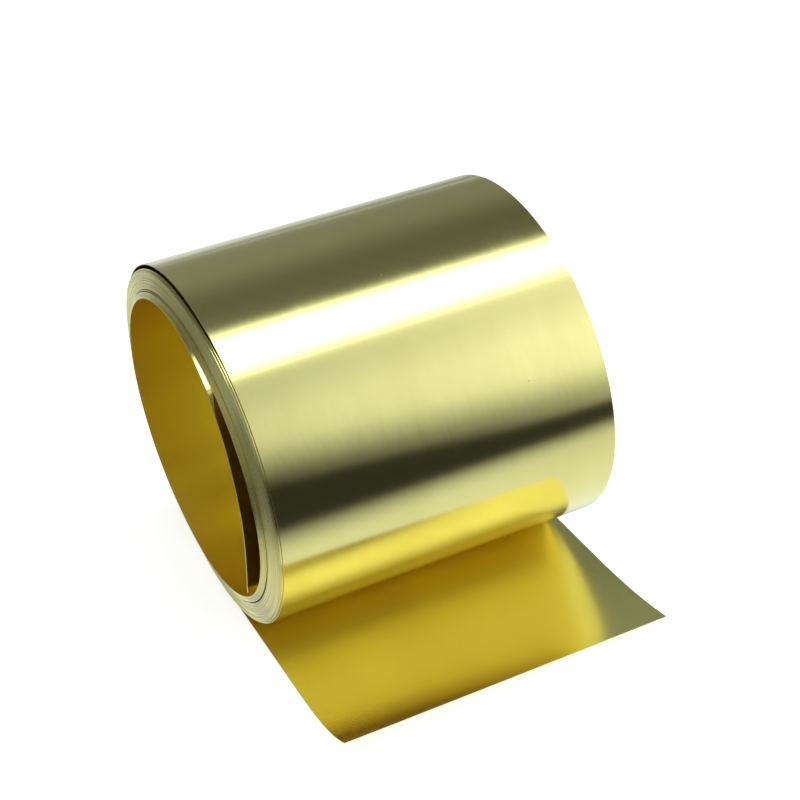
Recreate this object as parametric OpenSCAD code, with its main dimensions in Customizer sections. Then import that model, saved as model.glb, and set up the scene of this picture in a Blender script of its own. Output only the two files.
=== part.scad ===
// A roll of brass foil: one long thin strip wound on itself, lying on its side,
// with its loose end run out flat on the floor and curling up a little.
// Millimetres. X along the loose end, Y along the roll's axis, Z up from the floor.

/* [Strip] */
// Width of the strip, which is the roll's length along its axis
strip_w = 100; // [50:1:200]
// Thickness of the foil
foil_t = 0.2; // [0.1:0.05:0.4]

/* [Roll] */
// Diameter of the hole inside the innermost turn
bore_d = 88; // [40:1:150]
// Thickness of the wound turns together, from the hole to the outermost turn
wound_t = 9; // [6:0.5:30]
// How many turns show on each end
turns = 18; // [6:1:24]
// How far the innermost turn has slid out past the outermost one, towards -Y
slide_out = 4; // [0:0.5:12]
// Depth of the gap that shows between one turn and the next
gap_depth = 0.8; // [0.3:0.1:3]

/* [Loose end] */
// Length of the loose end that lies flat on the floor, from the middle of the roll
flat_l = 46; // [5:1:120]
// Length of the curled part that follows it
curl_l = 34.5; // [5:0.5:120]
// Radius of the curl
curl_r = 110; // [80:5:600]

/* [Hidden] */
$fn = 192;
bore_r = bore_d / 2;
roll_r = bore_r + wound_t;
// Room each turn takes up, counted from the hole outwards
pitch = wound_t / turns;
// The gap between two turns is what the foil leaves of that room, kept between two limits
gap_w = max(0.1, min(pitch - foil_t, pitch / 2));
curl_deg = curl_l / curl_r * 180 / PI;
// Middle of the whole object, which becomes the origin on the floor
tip_x = flat_l + curl_r * sin(curl_deg);
mid_x = (tip_x - roll_r) / 2;
mid_y = (strip_w - slide_out) / 2;
// Larger than anything here, for cutting
far = 1000;

// How far turn i, counted from the innermost, has slid towards -Y
function slid(i) = slide_out * (turns - 1 - i) / (turns - 1);

// Outline of the wound turns on one side of the axis: [distance from the axis, place along it]
// The near end, from the hole outwards
near_end = [
    for (i = [0 : turns - 1]) each [
        [bore_r + i * pitch, -slid(i)],
        [bore_r + (i + 1) * pitch - (i < turns - 1 ? gap_w : 0), -slid(i)],
        if (i < turns - 1) [bore_r + (i + 1) * pitch - gap_w, gap_depth - slid(i + 1)],
        if (i < turns - 1) [bore_r + (i + 1) * pitch, gap_depth - slid(i + 1)]
    ]
];
// The far end, from the outside inwards
far_end = [
    for (i = [turns - 1 : -1 : 0]) each [
        [bore_r + (i + 1) * pitch - (i < turns - 1 ? gap_w : 0), strip_w - slid(i)],
        [bore_r + i * pitch, strip_w - slid(i)],
        if (i > 0) [bore_r + i * pitch, strip_w - gap_depth - slid(i - 1)],
        if (i > 0) [bore_r + i * pitch - gap_w, strip_w - gap_depth - slid(i - 1)]
    ]
];

module wound_turns() {
    translate([0, 0, roll_r])
        rotate([-90, 0, 0])
            rotate_extrude()
                polygon(concat(near_end, far_end));
}

// Side view of the loose end, from the roll's lowest line out: X along it, Y up
module loose_end_side() {
    square([flat_l, foil_t]);
    intersection() {
        translate([flat_l, curl_r])
            difference() {
                circle(r = curl_r);
                circle(r = curl_r - foil_t);
            }
        polygon([
            [flat_l, curl_r],
            [flat_l, -far],
            [flat_l + far * tan(curl_deg), curl_r - far]
        ]);
    }
}

module loose_end() {
    translate([0, strip_w, 0])
        rotate([90, 0, 0])
            linear_extrude(height = strip_w)
                loose_end_side();
}

module brass_strip() {
    color([0.78, 0.66, 0.30])
        translate([-mid_x, -mid_y, 0])
            union() {
                wound_turns();
                loose_end();
            }
}

brass_strip();
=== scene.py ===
import math
import random

import bpy
import numpy as np
from mathutils import Matrix, Vector


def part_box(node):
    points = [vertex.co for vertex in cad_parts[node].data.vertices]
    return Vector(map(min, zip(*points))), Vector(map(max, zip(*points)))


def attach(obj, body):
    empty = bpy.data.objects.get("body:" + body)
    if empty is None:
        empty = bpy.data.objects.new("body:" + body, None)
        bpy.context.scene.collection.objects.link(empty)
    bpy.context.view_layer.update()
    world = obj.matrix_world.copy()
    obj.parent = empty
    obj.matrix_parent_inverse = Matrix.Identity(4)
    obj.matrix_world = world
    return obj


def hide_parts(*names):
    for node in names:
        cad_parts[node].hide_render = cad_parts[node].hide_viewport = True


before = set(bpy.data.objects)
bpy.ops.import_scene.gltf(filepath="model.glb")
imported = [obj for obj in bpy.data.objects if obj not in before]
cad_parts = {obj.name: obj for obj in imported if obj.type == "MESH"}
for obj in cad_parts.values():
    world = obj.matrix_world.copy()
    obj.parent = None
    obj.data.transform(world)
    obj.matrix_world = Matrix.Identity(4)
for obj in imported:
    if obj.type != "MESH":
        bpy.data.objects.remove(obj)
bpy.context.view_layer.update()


# Lengths are in millimetres, from the point on the floor under the roll's axis and under the
# outermost turn's near edge: X along the loose end, Y along the axis, Z up. They become metres
# where the mesh and the camera are made. The shaders work in metres.
MM = 1000
lo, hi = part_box("brass_strip")
# The solid roll's radius, the strip's width and the foil's thickness, as in part.scad
CAD_R = 53.0
WIDTH = 100.0
FOIL = 0.2
ORIGIN = Vector((lo[0] + CAD_R / MM, hi[1] - WIDTH / MM, 0.0))

# How many turns the strip makes, from the roll's lowest line in to the bend of its inner end
TURNS = 31.60
# Rows of points to the turn, and how many turns in they change: close in the outermost turn,
# wider in the turns between, and closest towards the bend
ROWS_OUTER = 180
OUTER_UNTIL = 1.15
ROWS_BETWEEN = 72
BETWEEN_UNTIL = 30.8
ROWS_INNER = 240

# The roll's outline is not quite round: waves on its mean radius, one, two and three to the
# turn, which differ from the near end to the far one
MEAN_R = 53.218
MEAN_BORE_R = 44.035
WOUND = MEAN_R - MEAN_BORE_R
NEAR_COS = (0.0, 0.40, 0.55)
NEAR_SIN = (-0.77, -0.13, 0.19)
FAR_COS = (-0.01, -1.33, -0.60)
FAR_SIN = (0.79, 0.31, -0.13)
# The bore has two waves to the turn, and its middle lies off the roll's own: X, Z
BORE_COS2 = -0.26
BORE_SIN2 = -0.28
BORE_SHIFT = (-0.40, 0.73)

# The loose end lies flat this far, then curls up to its tip, more at the near corner than at
# the far one: its length, how far its tip rises, and the power of its curve
FLAT = 46.6
LEN_NEAR = 79.1
LEN_FAR = 81.3
RISE_NEAR = 7.15
RISE_FAR = 3.45
CURL_NEAR = 2.67
CURL_FAR = 2.29
# The curl shortens the strip's reach by this share of half its slope times its rise
REACH_LOST = 0.6
# The loose end's rows of points: few up to this share of its length, more after it
CLOSE_FROM = 0.58

# Room that each turn takes up, from the outside in: mostly tight, with a wider gap here and there
ROOM = (
    [0.40, 0.34, 0.25, 0.33, 0.25, 0.25, 0.25, 0.25, 0.29]
    + [0.25, 0.25, 0.30] * 5
    + [0.60, 0.25, 0.27, 0.26, 0.30, 0.26, 0.28, 0.25]
)
DEPTH = np.concatenate([[0.0], np.cumsum(ROOM)])

# The outermost turn stands off the next one along the top. The gap is a wide part and a hump:
# how far it stands off, and then in degrees past the top its middle and its width. It fades
# from so many turns in, over so many turns more.
GAP = 0.95
GAP_MIDDLE = -13.0
GAP_MIDDLE_NEXT = -6.0
GAP_WIDTH = 34.0
HUMP = 0.6
HUMP_MIDDLE = 12
HUMP_WIDTH = 17
GAP_FADES_FROM = 2.5
GAP_FADES_OVER = 29.5

# How uneven the faces of the wound strip are and how far its edge wanders
RIPPLE = 0.02
WANDER = 0.10

# How far the near edge has slid out of the roll, towards -Y: turn, distance
SLID_AT = [
    0, 1.30, 1.45, 1.62, 2, 3, 4, 9, 16, 24, 25, 28,
    31.3, 31.42, 31.47, 31.54, 31.60, 31.87,
]
SLID_MM = [
    0, 0.10, 0.30, 0.50, 0.55, 0.8, 0.98, 1.15, 1.6, 2.0, 2.45, 2.8,
    3.2, 3.3, 3.45, 3.8, 4.5, 5.2,
]

# The innermost end is bent away from the turn it lay on: distance past the bend, and the way
# it faces there, in degrees from straight up
BENT_AT = [0, 1.5, 10, 18, 24, 32, 38, 44, 52, 60, 66, 72]
BENT_DEG = [36, 68, 71, 74, 78, 84, 90, 96, 100, 103, 105, 106]
BENT_LENGTH = 68.0
BENT_STEP = 0.5
# It stands back this far from the turn's near edge, reached this far past the bend
BENT_BACK = 0.6
BENT_BACK_AT = 18

# Points across the slit edge, from the inner face to the outer one: share of the foil's
# thickness from the outer face, and how far it stands out
ROUND_EDGE = ((0.88, 0.06), (0.5, 0.1), (0.12, 0.06))
# The order of the strip's materials
OUTER_FACE, SLIT_EDGE, INNER_FACE = range(3)

# What the metal mirrors is a little cooler than white
TINT = (0.88, 1.0, 1.08, 1.0)
WHITE = (1, 1, 1, 1)
DUST = (0.30, 0.23, 0.10, 1.0)
# How bright the box overhead is, as the metal mirrors it first and as it mirrors it again
BOX = 3.8
BOX_AGAIN = 1.45
# How much white the floor has for the camera, beyond the light that falls on it
FLOOR_LIFT = 0.72


def smooth(a, b, x):
    """0 before a, 1 after b, smooth between them."""
    t = np.clip((x - a) / (b - a), 0.0, 1.0)
    return t * t * (3 - 2 * t)


def knots(x, xs, ys):
    """Smooth curve through points, without overshoot."""
    xs = np.asarray(xs, float)
    ys = np.asarray(ys, float)
    x = np.asarray(x, float)
    slope = np.diff(ys) / np.diff(xs)
    m = np.zeros_like(ys)
    both = slope[:-1] * slope[1:]
    m[1:-1] = np.where(both > 0, 2 * both / (slope[:-1] + slope[1:] + 1e-12), 0.0)
    m[0], m[-1] = slope[0], slope[-1]
    i = np.clip(np.searchsorted(xs, x) - 1, 0, len(xs) - 2)
    h = xs[i + 1] - xs[i]
    t = np.clip((x - xs[i]) / h, 0.0, 1.0)
    return (
        (2 * t**3 - 3 * t**2 + 1) * ys[i]
        + (t**3 - 2 * t**2 + t) * h * m[i]
        + (-2 * t**3 + 3 * t**2) * ys[i + 1]
        + (t**3 - t**2) * h * m[i + 1]
    )


def blend(near, far, v):
    """From the value at the near edge to the one at the far edge."""
    return near + (far - near) * v


def edge_wander(u):
    """Small sideways wander of the strip's edge from turn to turn, the same every run."""
    rng = random.Random(11)
    count = 90
    step = [rng.uniform(-1, 1) for _ in range(count)]
    return float(np.interp(u * 2.6, range(count), step))


def ripple(u, v):
    """Slow unevenness of the wound strip's faces, the same every run."""
    rng = random.Random(7)
    out = np.zeros(np.broadcast(u, v).shape)
    for _ in range(12):
        a = rng.randint(2, 9)
        b = rng.uniform(-0.9, 0.9)
        p = rng.uniform(0, 2 * math.pi)
        out = out + rng.uniform(0.3, 1.0) / a * np.sin(2 * math.pi * (a * u + b * v) + p)
    return out


def top_gap(u, top):
    """How much deeper a turn inside the outermost one lies along the top: u turns in from the
    loose end, top degrees past the top. It shrinks to nothing towards the innermost turn."""
    middle = GAP_MIDDLE if u < 2 else GAP_MIDDLE_NEXT
    wide = GAP * math.exp(-(abs((top - middle) / GAP_WIDTH) ** 3))
    hump = HUMP * math.exp(-(((top - HUMP_MIDDLE) / HUMP_WIDTH) ** 2))
    left = 1 - max(0.0, u - GAP_FADES_FROM) / GAP_FADES_OVER
    return (wide + hump) * smooth(1.05, 1.3, u) * left


def wound_points(u, v, inset):
    """Points of the wound strip: u turns in from the loose end, v from 0 at the near edge to 1
    at the far one, inset under the strip's outer face."""
    turn = 2 * math.pi * u
    d = knots(u, np.arange(len(DEPTH)), DEPTH)
    if u > 1:
        top = math.degrees(math.atan2(math.sin(turn - math.pi), math.cos(turn - math.pi)))
        # The gap narrows towards the far end
        near = 1 - smooth(0.0, 0.8, v)
        d = d + top_gap(u, top) * (0.3 + 0.7 * near)
    d = d + RIPPLE * ripple(u, v) * smooth(0.03, 0.3, u) * (1.6 if u < 1 else 0.6)
    # How deep it lies in the roll, from 0 outside to 1 at the bore
    q = d / WOUND
    t = -turn
    wave = np.zeros_like(v)
    for k in range(3):
        c = blend(NEAR_COS[k], FAR_COS[k], v)
        s = blend(NEAR_SIN[k], FAR_SIN[k], v)
        wave = wave + c * math.cos((k + 1) * t) + s * math.sin((k + 1) * t)
    bore = BORE_COS2 * math.cos(2 * t) + BORE_SIN2 * math.sin(2 * t)
    r = MEAN_R - d - inset + (1 - q) * wave + q * bore
    middle_z = blend(MEAN_R + sum(NEAR_COS), MEAN_R + sum(FAR_COS), v)
    y = v * WIDTH - knots(u, SLID_AT, SLID_MM)
    y = y - (WANDER * edge_wander(u) if u > 1.2 else 0.0)
    x = r * math.sin(t) + BORE_SHIFT[0] * q
    z = middle_z - r * math.cos(t) + BORE_SHIFT[1] * q
    return np.stack([x, y, z], 1)


def loose_rows(v):
    """The loose end, from its tip back to the roll's lowest line."""
    rows = []
    along = []
    few = np.linspace(0.0, CLOSE_FROM, 14)[:-1]
    more = np.linspace(CLOSE_FROM, 1.0, 44)
    length = blend(LEN_NEAR, LEN_FAR, v)
    rise = blend(RISE_NEAR, RISE_FAR, v)
    power = blend(CURL_NEAR, CURL_FAR, v)
    for f in np.concatenate([few, more])[::-1]:
        x = f * length
        bent = np.clip((x - FLAT) / (length - FLAT), 0.0, 1.0)
        z = rise * bent**power
        slope = rise * power * bent ** (power - 1) / (length - FLAT)
        n = np.stack([-slope, np.zeros_like(v), np.ones_like(v)], 1)
        n /= np.linalg.norm(n, axis=1)[:, None]
        x = x - 0.5 * slope * z * REACH_LOST
        low = np.stack([x, v * WIDTH, z], 1)
        rows.append((low, low + n * FOIL))
        along.append(-f * (LEN_NEAR + LEN_FAR) / 2)
    return rows, along


def marks(start, stop, per_turn):
    """Places past start and up to stop, both in turns, with so many of them to the turn."""
    slack = 1e-9
    first = math.floor(start * per_turn + slack) + 1
    last = math.floor(stop * per_turn + slack)
    return np.arange(first, last + 1) / per_turn


def wound_rows(v):
    """The wound turns, from the roll's lowest line in to the bend."""
    rows = []
    along = []
    turns = np.concatenate([
        marks(0, OUTER_UNTIL, ROWS_OUTER),
        marks(OUTER_UNTIL, BETWEEN_UNTIL, ROWS_BETWEEN),
        marks(BETWEEN_UNTIL, TURNS, ROWS_INNER),
    ])
    total = 0.0
    last = 0.0
    for u in turns:
        rows.append((wound_points(u, v, 0.0), wound_points(u, v, FOIL)))
        r = MEAN_R - float(np.interp(u, np.arange(len(DEPTH)), DEPTH))
        total += 2 * math.pi * (u - last) * r
        last = u
        along.append(total)
    return rows, along


def bent_rows(line, total):
    """The innermost end, past its bend at the given line of points."""
    rows = []
    along = []
    for i in range(1, int(BENT_LENGTH / BENT_STEP) + 1):
        s = BENT_STEP * i
        a = math.radians(float(knots(s - BENT_STEP / 2, BENT_AT, BENT_DEG)))
        line = line + (BENT_STEP * math.cos(a), 0.0, -BENT_STEP * math.sin(a))
        face = math.radians(float(knots(s, BENT_AT, BENT_DEG)))
        face = np.array([math.sin(face), 0.0, math.cos(face)])
        outer = line + (0.0, BENT_BACK * float(smooth(0, BENT_BACK_AT, s)), 0.0)
        rows.append((outer, outer - face * FOIL))
        along.append(total + s)
    return rows, along


def strip_faces(v):
    """Rows of points on the strip's outer and inner face, from the loose end's tip to the
    innermost end, and how far along the strip each row lies."""
    loose, loose_along = loose_rows(v)
    wound, wound_along = wound_rows(v)
    bent, bent_along = bent_rows(wound[-1][0], wound_along[-1])
    return loose + wound + bent, loose_along + wound_along + bent_along


def build_strip():
    """The whole strip as one closed mesh: outer face, far edge, inner face, near edge."""
    v = np.array([0.0, 0.04, 0.12, 0.25, 0.40, 0.55, 0.70, 0.85, 1.0])
    rows, along = strip_faces(v)
    round_n = len(ROUND_EDGE)
    across = list(v) + [1.0] * round_n + list(v[::-1]) + [0.0] * round_n
    ring = len(across)
    verts = []
    for outer, inner in rows:
        near = [outer[0] * (1 - f) + inner[0] * f - (0, y, 0) for f, y in ROUND_EDGE]
        far = [outer[-1] * (1 - f) + inner[-1] * f + (0, y, 0) for f, y in ROUND_EDGE[::-1]]
        verts.extend([*outer, *far, *inner[::-1], *near])
    verts = [tuple(ORIGIN + Vector(p) / MM) for p in verts]
    side = len(v) - 1
    edge = [SLIT_EDGE] * (round_n + 1)
    kind = [OUTER_FACE] * side + edge + [INNER_FACE] * side + edge
    faces = []
    kinds = []
    for i in range(len(rows) - 1):
        a, b = i * ring, (i + 1) * ring
        for j in range(ring):
            k = (j + 1) % ring
            faces.append((a + j, b + j, b + k, a + k))
            kinds.append(kind[j])
    # The cut across the strip at its two ends
    for i in (0, len(rows) - 1):
        cap = tuple(range(i * ring, (i + 1) * ring))
        faces.append(cap if i == 0 else cap[::-1])
        kinds.append(SLIT_EDGE)
    mesh = bpy.data.meshes.new("brass_foil")
    mesh.from_pydata(verts, [], faces)
    mesh.polygons.foreach_set("material_index", kinds)
    # The strip laid out flat, in metres: along it, across it
    layer = mesh.uv_layers.new(name="strip")
    coords = np.zeros((len(mesh.loops), 2))
    index = np.zeros(len(mesh.loops), dtype=int)
    mesh.loops.foreach_get("vertex_index", index)
    coords[:, 0] = np.asarray(along)[index // ring] / MM
    coords[:, 1] = np.asarray(across)[index % ring] * WIDTH / MM
    layer.data.foreach_set("uv", coords.ravel())
    mesh.update()
    mesh.validate()
    # Sharp where two materials meet, smooth elsewhere
    met = {}
    for p in mesh.polygons:
        for key in p.edge_keys:
            met.setdefault(key, set()).add(p.material_index)
    sharp = [len(met.get(tuple(sorted(e.vertices)), ())) > 1 for e in mesh.edges]
    mesh.attributes.new("sharp_edge", "BOOLEAN", "EDGE").data.foreach_set("value", sharp)
    mesh.polygons.foreach_set("use_smooth", [True] * len(kinds))
    obj = bpy.data.objects.new("wound_brass_foil", mesh)
    bpy.context.scene.collection.objects.link(obj)
    return obj


class Tree:
    """Short calls for building the node tree of a material or a world. An input is a socket or
    a constant, and every call but node gives back the socket with the result."""

    def __init__(self, owner):
        owner.use_nodes = True
        self.tree = owner.node_tree
        self.tree.nodes.clear()

    def node(self, kind, inputs=(), **props):
        n = self.tree.nodes.new(kind)
        for name, value in props.items():
            setattr(n, name, value)
        for key, value in dict(inputs).items():
            if isinstance(value, bpy.types.NodeSocket):
                self.tree.links.new(value, n.inputs[key])
            else:
                n.inputs[key].default_value = value
        return n

    def math(self, op, a, b=0.0, c=0.0):
        return self.node("ShaderNodeMath", {0: a, 1: b, 2: c}, operation=op).outputs[0]

    def product(self, first, *others):
        for factor in others:
            first = self.math("MULTIPLY", first, factor)
        return first

    def line(self, x, a, b, low, high):
        """Straight from low at a to high at b, and level outside."""
        inputs = {0: x, 1: a, 2: b, 3: low, 4: high}
        return self.node("ShaderNodeMapRange", inputs).outputs[0]

    def step(self, x, a, b, low=0.0, high=1.0):
        """As line, with a smooth start and end."""
        inputs = {0: x, 1: a, 2: b, 3: low, 4: high}
        n = self.node("ShaderNodeMapRange", inputs, interpolation_type="SMOOTHSTEP")
        return n.outputs[0]

    def mix(self, f, a, b):
        return self.node("ShaderNodeMix", {0: f, 2: a, 3: b}, data_type="FLOAT").outputs[0]

    def mix_colour(self, f, a, b):
        return self.node("ShaderNodeMix", {0: f, 6: a, 7: b}, data_type="RGBA").outputs[2]

    def stretched(self, uv, along, across):
        """The strip's coordinates at so many cells to the metre along it and across it."""
        return self.node("ShaderNodeMapping", {0: uv, 3: (along, across, 1.0)}).outputs[0]

    def noise(self, place, detail, roughness):
        inputs = {"Vector": place, "Scale": 1.0, "Detail": detail, "Roughness": roughness}
        return self.node("ShaderNodeTexNoise", inputs).outputs[0]

    def bump(self, height, strength, distance, **normal):
        inputs = {"Strength": strength, "Distance": distance, "Height": height, **normal}
        return self.node("ShaderNodeBump", inputs).outputs[0]


def brass_face(name, light, dark, roughness, cloudiness):
    """A rolled face of the strip, between a light and a dark tone of brass."""
    mat = bpy.data.materials.new(name)
    t = Tree(mat)
    uv = t.node("ShaderNodeUVMap", uv_map="strip").outputs[0]
    # Fine lines along the strip from the rolling mill
    grain = t.noise(t.stretched(uv, 14.0, 5200.0), 3.0, 0.6)
    # Slow cloudiness of the surface
    cloud = t.noise(t.stretched(uv, 22.0, 60.0), 4.0, 0.55)
    # A few specks of dust and tarnish
    cells = t.node("ShaderNodeTexVoronoi", {
        "Vector": t.stretched(uv, 150.0, 150.0),
        "Scale": 1.0,
        "Randomness": 1.0,
    })
    chance = t.node("ShaderNodeSeparateColor", {0: cells.outputs["Color"]}).outputs[0]
    size = t.math("SUBTRACT", t.math("MULTIPLY", chance, 0.05), 0.022)
    speck = t.math("LESS_THAN", cells.outputs["Distance"], size)
    rough = t.math("MULTIPLY_ADD", cloud, cloudiness, roughness)
    rough = t.math("MULTIPLY_ADD", grain, 0.03, rough)
    rough = t.math("MULTIPLY_ADD", speck, 0.3, rough)
    base = t.mix_colour(t.line(cloud, 0.3, 0.7, 0.0, 1.0), light, dark)
    base = t.mix_colour(t.math("MULTIPLY", speck, 0.55), base, DUST)
    lines = t.bump(grain, 0.05, 0.00002)
    normal = t.bump(cloud, 0.10, 0.0006, Normal=lines)
    tangent = t.node("ShaderNodeTangent", direction_type="UV_MAP", uv_map="strip").outputs[0]
    bsdf = t.node("ShaderNodeBsdfPrincipled", {
        "Base Color": base,
        "Metallic": 1.0,
        "Roughness": rough,
        "Anisotropic": 0.35,
        "Tangent": tangent,
        "Normal": normal,
    })
    t.node("ShaderNodeOutputMaterial", {0: bsdf.outputs[0]})
    return mat


def cut_edge():
    """The slit edges and cut ends of the strip, matt with small marks of the knife."""
    mat = bpy.data.materials.new("slit_edge")
    t = Tree(mat)
    uv = t.node("ShaderNodeUVMap", uv_map="strip").outputs[0]
    chatter = t.noise(t.stretched(uv, 900.0, 900.0), 3.0, 0.6)
    bsdf = t.node("ShaderNodeBsdfPrincipled", {
        "Base Color": t.mix_colour(chatter, (0.62, 0.53, 0.21, 1.0), (0.74, 0.64, 0.27, 1.0)),
        "Metallic": 1.0,
        "Roughness": t.math("MULTIPLY_ADD", chatter, 0.2, 0.2),
    })
    t.node("ShaderNodeOutputMaterial", {0: bsdf.outputs[0]})
    return mat


def studio():
    """Soft light from all round: a long box overhead, a large panel on the loose end's side
    and dimmer walls. The camera itself sees plain white."""
    world = bpy.data.worlds.new("studio")
    bpy.context.scene.world = world
    t = Tree(world)
    world.cycles.sampling_method = "NONE"
    direction = t.node("ShaderNodeTexCoord").outputs["Generated"]
    x, y, z = t.node("ShaderNodeSeparateXYZ", {0: direction}).outputs
    # Degrees round the roll's axis, from 0 along the loose end to 90 overhead
    phi = t.math("MULTIPLY", t.math("ARCTAN2", z, x), 180 / math.pi)
    # How far the direction leans along the axis, away from the near end
    flat = t.math("SQRT", t.math("ADD", t.math("MULTIPLY", x, x), t.math("MULTIPLY", z, z)))
    lean = t.math("DIVIDE", y, t.math("MAXIMUM", flat, 0.001))

    # Walls on the far side from the loose end
    wall = t.math(
        "ADD",
        t.step(phi, 122.0, 153.0, 0.145, 0.275),
        t.step(phi, 168.0, 184.0, 0.0, 0.07),
    )
    wall = t.product(
        wall,
        t.line(lean, 0.3, 0.6, 1.0, 0.88),
        t.line(lean, -3.0, -0.5, 0.6, 1.0),
    )

    # The long box overhead, a little narrower away from the camera
    taper = t.math("MULTIPLY", t.math("SUBTRACT", lean, 0.36), 10.0)
    box = t.product(
        t.step(t.math("SUBTRACT", phi, taper), 66.0, 78.0),
        t.step(t.math("ADD", phi, taper), 92.5, 104.5, 1.0, 0.0),
        t.step(lean, -0.3, 0.2, 0.12, 1.0),
    )

    # The panel on the loose end's side, which falls off towards the camera
    safe = t.math("MAXIMUM", x, 0.02)
    sideways = t.math("MULTIPLY", t.math("DIVIDE", y, safe), 0.92)
    height = t.math("ADD", t.math("DIVIDE", z, safe), sideways)
    panel = t.product(
        t.step(height, 0.065, 0.885),
        t.line(lean, 0.1, 0.62, 0.5, 1.43),
        t.step(phi, 34.0, 62.0, 1.0, 0.78),
        t.step(lean, -0.5, 0.1, 0.4, 1.0),
    )

    # Where the metal mirrors itself, the low light is stronger and the box dimmer
    path = t.node("ShaderNodeLightPath")
    times = path.outputs["Glossy Depth"]
    again = t.math("GREATER_THAN", times, 1.5)
    least = t.mix(again, 0.025, t.line(times, 3.0, 4.0, 0.9, 0.1))
    light = t.mix(t.step(phi, 84.0, 96.0), t.math("MAXIMUM", panel, least), wall)
    light = t.mix(box, light, t.mix(again, BOX, BOX_AGAIN))
    colour = t.mix_colour(path.outputs["Is Glossy Ray"], WHITE, TINT)
    lit = t.node("ShaderNodeBackground", {0: colour, 1: light}).outputs[0]
    white = t.node("ShaderNodeBackground", {0: WHITE, 1: 1.0}).outputs[0]
    seen = t.node("ShaderNodeMixShader", {0: path.outputs["Is Camera Ray"], 1: lit, 2: white})
    t.node("ShaderNodeOutputWorld", {0: seen.outputs[0]})


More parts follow.
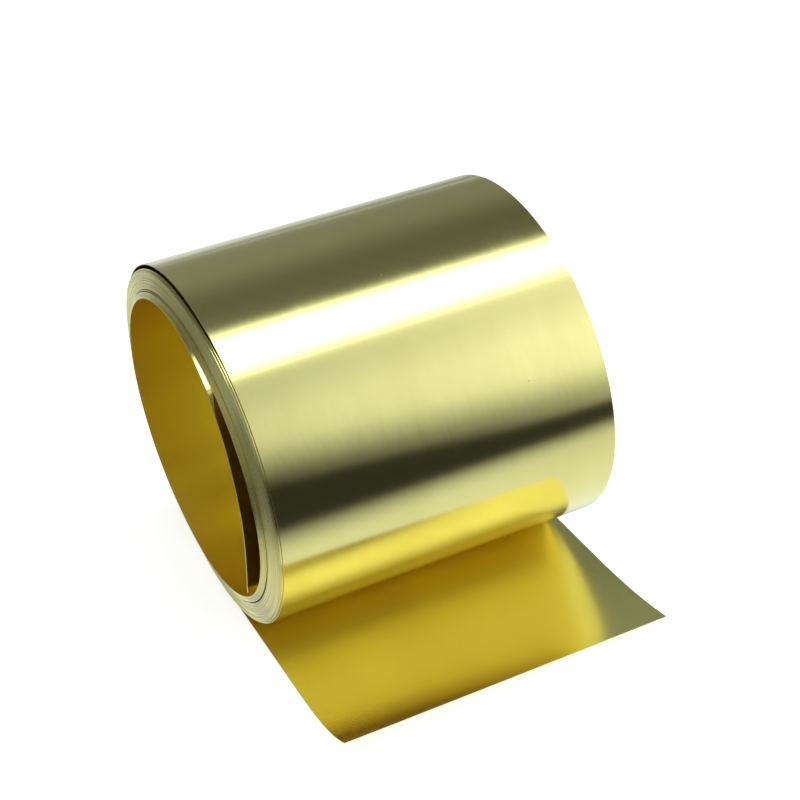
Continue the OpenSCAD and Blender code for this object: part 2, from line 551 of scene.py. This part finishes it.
def floor_material():
    """White to the camera, with a faint soft shade. What the metal mirrors of it has its own
    glow, so that it matches the room that the photo's metal mirrors."""
    mat = bpy.data.materials.new("white_floor")
    t = Tree(mat)
    place = t.node("ShaderNodeNewGeometry").outputs["Position"]
    x, y = t.node("ShaderNodeSeparateXYZ", {0: place}).outputs[:2]
    x = t.math("SUBTRACT", x, ORIGIN.x)
    y = t.math("SUBTRACT", y, ORIGIN.y)

    # White close by, dimmer behind the roll and towards the camera
    fall = t.line(x, 0.03, 0.12, 0.0, 0.27)
    close = t.math("SUBTRACT", t.step(x, -0.03, 0.03, 0.85, 1.15), fall)
    close = t.mix(t.step(x, -0.5, -0.1), t.line(y, 0.1, 0.45, 0.85, 0.32), close)
    front = t.math("MULTIPLY", y, t.step(x, -0.05, 0.03, 1.0, 3.3))
    close = t.math("MULTIPLY", close, t.step(front, -0.30, -0.07, 0.2, 1.0))
    # Brighter before the roll's near end, away from the loose end's side
    left = t.product(t.step(y, -0.02, 0.01, 0.42, 0.0), t.step(x, 0.0, 0.04, 1.0, 0.0))
    close = t.math("MULTIPLY", close, t.math("ADD", left, 1.0))
    # The roll's own shade on the floor under it
    under = t.product(
        t.step(y, 0.0, 0.02),
        t.step(y, 0.10, 0.13, 1.0, 0.0),
        t.step(t.math("ABSOLUTE", x), 0.014, 0.044, 0.88, 0.0),
    )
    close = t.math("MULTIPLY", close, t.math("SUBTRACT", 1.0, under))
    # Dark past the loose end's side, then the panel's lower part
    past = t.math("SUBTRACT", x, t.math("MULTIPLY_ADD", y, 0.26, 0.12))
    close = t.mix(t.step(past, -0.036, 0.036), close, 0.035)
    run = t.math("MULTIPLY_ADD", y, 0.92, -0.116)
    away = t.math("MAXIMUM", t.math("SUBTRACT", x, 0.045), 0.05)
    low = t.math("MULTIPLY", t.step(t.math("DIVIDE", run, away), 0.065, 0.885), 1.2)
    mirrored = t.mix(t.step(x, 0.3, 0.45), close, t.math("MAXIMUM", low, 0.03))
    glow = t.node("ShaderNodeEmission", {0: TINT, 1: mirrored}).outputs[0]

    path = t.node("ShaderNodeLightPath")
    added = t.math("MULTIPLY", path.outputs["Is Camera Ray"], FLOOR_LIFT)
    lift = t.node("ShaderNodeEmission", {0: WHITE, 1: added}).outputs[0]
    matt = t.node("ShaderNodeBsdfDiffuse", {0: (0.8, 0.8, 0.8, 1)}).outputs[0]
    by_eye = t.node("ShaderNodeAddShader", {0: matt, 1: lift}).outputs[0]
    seen = t.node("ShaderNodeMixShader", {0: path.outputs["Is Glossy Ray"], 1: by_eye, 2: glow})
    t.node("ShaderNodeOutputMaterial", {0: seen.outputs[0]})
    return mat


def floor():
    """A level floor, 12 m wide."""
    half = 6.0
    corners = [(-half, -half, 0), (half, -half, 0), (half, half, 0), (-half, half, 0)]
    mesh = bpy.data.meshes.new("floor")
    mesh.from_pydata(corners, [], [(0, 1, 2, 3)])
    mesh.materials.append(floor_material())
    obj = bpy.data.objects.new("floor", mesh)
    bpy.context.scene.collection.objects.link(obj)


def camera():
    """The camera that was fitted to the outlines in the photo."""
    data = bpy.data.cameras.new("camera")
    cam = bpy.data.objects.new("camera", data)
    bpy.context.scene.collection.objects.link(cam)
    data.sensor_width = 36.0
    data.lens = 71.921
    data.clip_start = 0.01
    data.clip_end = 50.0
    place = Vector((344.852, -104.996, 320.681))
    right = Vector((0.4769012, 0.8764186, -0.0667511))
    down = Vector((0.4877040, -0.3270329, -0.8094407))
    ahead = Vector((-0.7312387, 0.3534685, -0.5833953))
    turn = Matrix((right, -down, -ahead)).transposed().to_4x4()
    cam.matrix_world = Matrix.Translation(ORIGIN + place / MM) @ turn
    bpy.context.scene.camera = cam


roll = build_strip()
# In the order of OUTER_FACE, SLIT_EDGE and INNER_FACE
roll.data.materials.append(brass_face(
    "rolled_brass",
    light=(0.87, 0.745, 0.29, 1.0),
    dark=(0.83, 0.70, 0.262, 1.0),
    roughness=0.085,
    cloudiness=0.06,
))
roll.data.materials.append(cut_edge())
# The inner face is the same brass made lighter than the outer face: painted light, which
# brightens the loose end and the reflections between it and the roll.
roll.data.materials.append(brass_face(
    "rolled_brass_inner_painted_light",
    light=(0.97, 0.85, 0.30, 1.0),
    dark=(0.93, 0.81, 0.27, 1.0),
    roughness=0.19,
    cloudiness=0.08,
))
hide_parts("brass_strip")
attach(roll, "root")
studio()
floor()
camera()

scene = bpy.context.scene
scene.view_settings.view_transform = "Standard"
# Enough bounces for light to find its way out between the roll and its loose end
scene.cycles.max_bounces = 24
scene.cycles.glossy_bounces = 24
